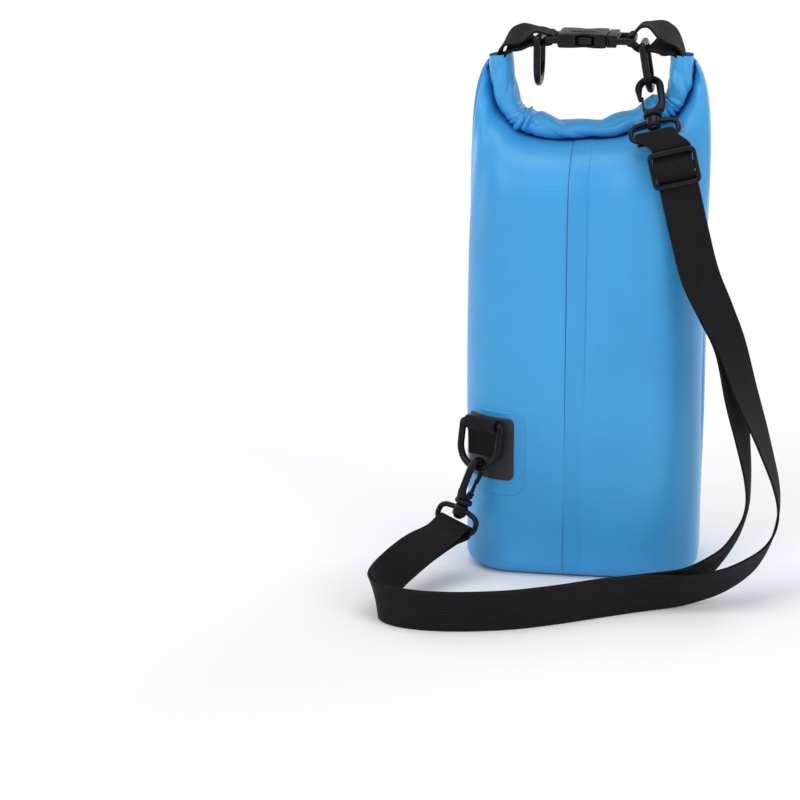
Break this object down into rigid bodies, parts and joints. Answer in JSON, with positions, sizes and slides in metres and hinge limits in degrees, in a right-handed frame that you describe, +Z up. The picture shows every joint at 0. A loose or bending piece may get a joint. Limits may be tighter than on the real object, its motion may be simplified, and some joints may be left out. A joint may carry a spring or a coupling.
{
  "type": "roll-top dry bag",
  "caption": "Waterproof roll-top bag with a clear phone pocket, a side-release buckle handle and a clip-on webbing shoulder strap.",
  "frame": {"origin": "centre of the base panel's underside, on the ground", "axes": "+Z up the bag, the clear phone pocket faces -Y, the back seam and the strap face +Y, +X is the side of the buckle's socket half"},
  "size_m": [0.2535, 0.2148, 0.3599],
  "materials": {
    "tarpaulin": "satin coated",
    "webbing": "ribbed weave",
    "moulding": "satin moulded",
    "clear_film": "clear soft film",
    "navy_film": "glossy film",
    "card": "smooth card",
    "stiffener": "matte"
  },
  "bodies": {
    "bag": {"bag_shell": "tarpaulin", "base_panel": "tarpaulin", "roll_top": "tarpaulin", "stiffener_strip": "stiffener", "back_seam": "tarpaulin", "pocket_frame": "tarpaulin", "pocket_window": "clear_film", "pocket_back": "navy_film", "insert_card": "card", "base_patch": "tarpaulin", "tab_patch": "webbing", "tab_webbing": "webbing", "webbing_left": "webbing", "webbing_right": "webbing", "buckle_male": "moulding", "strap_front_run": "webbing", "strap_back_run": "webbing", "strap_lower_loop": "webbing"},
    "front_prong": {"prong_front": "moulding"},
    "back_prong": {"prong_back": "moulding"},
    "buckle_socket": {"buckle_female": "moulding"},
    "free_ring": {"d_ring_left": "moulding"},
    "upper_chain": {"d_ring_right": "moulding", "upper_swivel": "moulding", "strap_top_loop": "webbing"},
    "upper_hook_body": {"upper_hook": "moulding"},
    "upper_gate_body": {"upper_gate": "moulding"},
    "slider": {"strap_slider": "moulding"},
    "lower_chain": {"d_ring_lower": "moulding", "lower_swivel": "moulding"},
    "lower_hook_body": {"lower_hook": "moulding"},
    "lower_gate_body": {"lower_gate": "moulding"}
  },
  "joints": [
    {"name": "buckle_release", "type": "slide", "parent": "bag", "child": "buckle_socket", "axis": [1, 0, 0], "range_m": [0, 0.01], "deforming": ["webbing_left", "prong_front", "prong_back"]},
    {"name": "front_prong_press", "type": "hinge", "parent": "bag", "child": "front_prong", "pos_m": [-0.0084, -0.0089, 0.349], "axis": [0, 0, 1], "range_deg": [0, 6], "stiffness_Nm_per_rad": 0.05},
    {"name": "back_prong_press", "type": "hinge", "parent": "bag", "child": "back_prong", "pos_m": [-0.0084, 0.0089, 0.349], "axis": [0, 0, -1], "range_deg": [0, 6], "stiffness_Nm_per_rad": 0.05},
    {"name": "free_ring_swing", "type": "hinge", "parent": "buckle_socket", "child": "free_ring", "pos_m": [0.034, 0, 0.3493], "axis": [0, 1, 0], "range_deg": [-24, 34]},
    {"name": "upper_chain_swing", "type": "hinge", "parent": "bag", "child": "upper_chain", "pos_m": [-0.033, 0, 0.346], "axis": [0, 1, 0], "range_deg": [-18, 0], "deforming": ["strap_front_run", "strap_back_run"]},
    {"name": "upper_hook_turn", "type": "hinge", "parent": "upper_chain", "child": "upper_hook_body", "pos_m": [-0.0378, 0.0108, 0.3191], "axis": [0.1653, -0.7225, 0.6714], "range_deg": [-15, 15]},
    {"name": "upper_gate_press", "type": "hinge", "parent": "upper_hook_body", "child": "upper_gate_body", "pos_m": [-0.03576, 0.02261, 0.30687], "axis": [-0.1852, -0.6914, -0.6984], "range_deg": [0, 22], "stiffness_Nm_per_rad": 0.02},
    {"name": "slider_slide", "type": "slide", "parent": "upper_chain", "child": "slider", "axis": [-0.2401, 0.05, -0.9695], "range_m": [0, 0.035], "deforming": ["strap_top_loop"]},
    {"name": "lower_chain_swing", "type": "hinge", "parent": "bag", "child": "lower_chain", "pos_m": [0.0633, 0.04818, 0.103], "axis": [0.866, -0.5, 0], "range_deg": [0, 20], "deforming": ["strap_lower_loop"]},
    {"name": "lower_hook_turn", "type": "hinge", "parent": "lower_chain", "child": "lower_hook_body", "pos_m": [0.0665, 0.05287, 0.07228], "axis": [-0.3389, -0.144, 0.9297], "range_deg": [-15, 15]},
    {"name": "lower_gate_press", "type": "hinge", "parent": "lower_hook_body", "child": "lower_gate_body", "pos_m": [0.07, 0.05101, 0.05563], "axis": [-0.8424, 0.4864, -0.2318], "range_deg": [0, 22], "stiffness_Nm_per_rad": 0.02}
  ]
}
